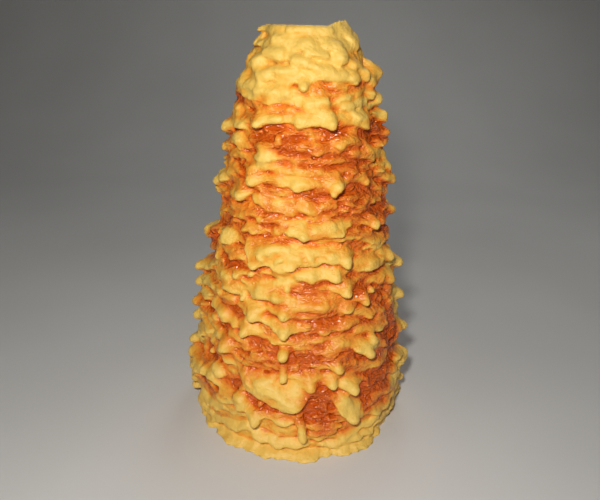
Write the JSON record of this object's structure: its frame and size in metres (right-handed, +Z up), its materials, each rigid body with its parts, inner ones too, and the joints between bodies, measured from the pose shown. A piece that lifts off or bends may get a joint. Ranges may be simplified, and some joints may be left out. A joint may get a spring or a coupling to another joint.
{
  "type": "spit cake",
  "caption": "Tall, tapering spit cake: a hollow cake of thin baked layers with crested, knobbly ledges of golden and browned batter, cut flat at both ends.",
  "frame": {"origin": "middle of the flat base, on the axis of the hole that the spit leaves, at the level the cake stands on", "axes": "+Z up along the spit's axis, from the wide end to the narrow end; front at -Y, +X to the right seen from the front"},
  "size_m": [0.2445, 0.2363, 0.4055],
  "materials": {
    "cake_crust": "golden yellow batter on the ledges and knobs, browned orange in the recesses, with a soft buttery sheen"
  },
  "bodies": {
    "root": {"cake": "cake_crust"}
  },
  "joints": []
}
